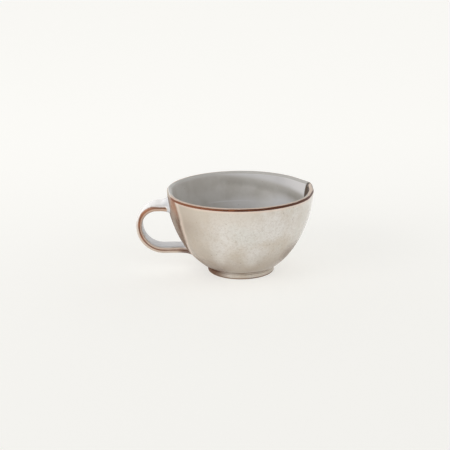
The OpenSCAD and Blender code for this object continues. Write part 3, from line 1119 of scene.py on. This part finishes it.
class CUP_OT_roots(CupOperator, bpy.types.Operator):
    """Lute the strap's two roots to the bowl"""

    bl_idname = "cup.roots"
    bl_label = "Handle Roots"

    def execute(self, context):
        size, wall, tone = self.sizes(context)
        strap = Strap(size, wall)
        finish = strap_finish(tone, "root glaze")
        finish_piece(shape_root(strap, strap.upper), "upper_joint", "root_glaze", finish, "upper_root")
        finish_piece(shape_root(strap, strap.lower), "lower_joint", "root_glaze", finish, "lower_root")
        return {"FINISHED"}


class CUP_OT_pour_mark(CupOperator, bpy.types.Operator):
    """Leave the brown mark where the liner was poured out"""

    bl_idname = "cup.pour_mark"
    bl_label = "Pour Mark"

    def execute(self, context):
        size, wall, tone = self.sizes(context)
        finish_piece(shape_pour_mark(size, wall), "pour_mark_glaze", "iron_glaze",
                     pour_finish(tone), "pour_mark")
        return {"FINISHED"}


class CUP_OT_stage(CupOperator, bpy.types.Operator):
    """Set up the table, the light and the camera"""

    bl_idname = "cup.stage"
    bl_label = "Stage"

    # What the camera looks at, how high and how far away it stands, its small roll, and its lens
    TARGET = Vector((-11.08, 0, 34.52)) * MM
    ELEVATION = math.radians(17.13)
    DISTANCE = 0.8
    ROLL = math.radians(-0.56)
    LENS = 85.5
    SENSOR = 36
    # Half the table's width in metres, how far it lies under the foot, and where along Y, in millimetres,
    # its colour starts and ends its change
    TABLE_HALF = 4
    TABLE_GAP = 0.02 * MM
    TABLE_FRONT = -350
    TABLE_BACK = 500
    # The tent's light, which is stronger from its sides than from its roof, and a window on the left
    SIDE_LIGHT = 1.6
    ROOF_LIGHT = 0.25
    ROOF_EDGES = (0.3, 0.8)
    KEY_PLACE = Vector((-1.5, -1.0, 0.75))
    KEY_SIZE = 1.0
    KEY_POWER = 8
    # Share of the table's own light in what the camera sees of it, and its strength; the rest is lit
    TABLE_GLOW = 0.5
    TABLE_STRENGTH = 1.2

    def execute(self, context):
        tone = context.scene.cup_colours
        self.lay_table(context, tone)
        self.light(context)
        self.place_camera(context)
        return {"FINISHED"}

    def lay_table(self, context, tone):
        bm = bmesh.new()
        bmesh.ops.create_grid(bm, x_segments=1, y_segments=1, size=self.TABLE_HALF)
        bmesh.ops.translate(bm, verts=bm.verts[:], vec=(0, 0, -self.TABLE_GAP))
        mesh = bpy.data.meshes.new("table")
        bm.to_mesh(mesh)
        bm.free()
        mesh.materials.append(self.table_finish(tone))
        table = bpy.data.objects.new("table", mesh)
        context.scene.collection.objects.link(table)

    def table_finish(self, tone):
        """A pale table that shows its own colour to the camera and keeps a share of the cup's shadow."""
        f = Finish("table", tone.table_near)
        f.lay(f.fade(f.y, self.TABLE_FRONT, self.TABLE_BACK), tone.table_far)
        f.close(0.9, specular=0)
        glow = f.node("ShaderNodeEmission", None, {"Color": f.shade, "Strength": self.TABLE_STRENGTH}, None)
        path = f.node("ShaderNodeLightPath", output=None)
        camera, glossy, through = (
            Value(f.tree, path.outputs["Is %s Ray" % kind]) for kind in ("Camera", "Glossy", "Transmission"))
        blend = f.node("ShaderNodeMixShader", None,
                       {0: camera.most(glossy).most(through) * self.TABLE_GLOW}, None)
        f.tree.links.new(f.shader.outputs[0], blend.inputs[1])
        f.tree.links.new(glow.outputs[0], blend.inputs[2])
        f.tree.links.new(blend.outputs[0], f.tree.nodes["Material Output"].inputs["Surface"])
        return f.material

    def light(self, context):
        scene = context.scene
        scene.view_settings.view_transform = "Standard"
        world = bpy.data.worlds.new("soft tent")
        world.use_nodes = True
        tent = Nodes(world.node_tree)
        height = tent.parts(tent.node("ShaderNodeTexCoord", output="Generated"))[2]
        roof = tent.fade(height, *self.ROOF_EDGES)
        background = world.node_tree.nodes["Background"]
        background.inputs["Color"].default_value = (1, 1, 1, 1)
        plug(world.node_tree, background.inputs["Strength"],
             self.SIDE_LIGHT - roof * (self.SIDE_LIGHT - self.ROOF_LIGHT))
        scene.world = world
        lamp = bpy.data.lights.new("key", "AREA")
        lamp.shape = "SQUARE"
        lamp.size = self.KEY_SIZE
        lamp.energy = self.KEY_POWER
        key = bpy.data.objects.new("key", lamp)
        key.location = self.KEY_PLACE
        key.rotation_euler = (self.TARGET - self.KEY_PLACE).to_track_quat("-Z", "Y").to_euler()
        scene.collection.objects.link(key)

    def place_camera(self, context):
        """Turns the camera up from straight down, rolls it and draws it back from its target."""
        turn = Matrix.Rotation(math.pi / 2 - self.ELEVATION, 4, "X") @ Matrix.Rotation(self.ROLL, 4, "Z")
        back = Matrix.Translation((0, 0, self.DISTANCE))
        lens = bpy.data.cameras.new("camera")
        lens.lens = self.LENS
        lens.sensor_width = self.SENSOR
        lens.sensor_fit = "HORIZONTAL"
        camera = bpy.data.objects.new("camera", lens)
        camera.matrix_world = Matrix.Translation(self.TARGET) @ turn @ back
        context.scene.collection.objects.link(camera)
        context.scene.camera = camera


OPERATORS = (
    CUP_OT_bowl, CUP_OT_foot, CUP_OT_outer_glaze, CUP_OT_liner, CUP_OT_rim_band, CUP_OT_strap, CUP_OT_roots,
    CUP_OT_pour_mark, CUP_OT_stage)


class CUP_PT_panel(bpy.types.Panel):
    """The cup's pieces, sizes and colours"""

    bl_idname = "CUP_PT_panel"
    bl_label = "Cappuccino Cup"
    bl_space_type = "VIEW_3D"
    bl_region_type = "UI"
    bl_category = "Cup"

    def draw(self, context):
        for operator in OPERATORS:
            self.layout.operator(operator.bl_idname)
        for group in (context.scene.cup_sizes, context.scene.cup_colours):
            for name in group.__annotations__:
                self.layout.prop(group, name)


CLASSES = (CupSizes, CupColours, *OPERATORS, CUP_PT_panel)


def register():
    for each in CLASSES:
        bpy.utils.register_class(each)
    bpy.types.Scene.cup_sizes = bpy.props.PointerProperty(type=CupSizes)
    bpy.types.Scene.cup_colours = bpy.props.PointerProperty(type=CupColours)


def unregister():
    del bpy.types.Scene.cup_colours
    del bpy.types.Scene.cup_sizes
    for each in reversed(CLASSES):
        bpy.utils.unregister_class(each)


def main():
    register()
    bpy.ops.cup.bowl()
    bpy.ops.cup.foot()
    bpy.ops.cup.outer_glaze()
    bpy.ops.cup.liner()
    bpy.ops.cup.rim_band()
    bpy.ops.cup.strap()
    bpy.ops.cup.roots()
    bpy.ops.cup.pour_mark()
    bpy.ops.cup.stage()


if __name__ == "__main__":
    main()
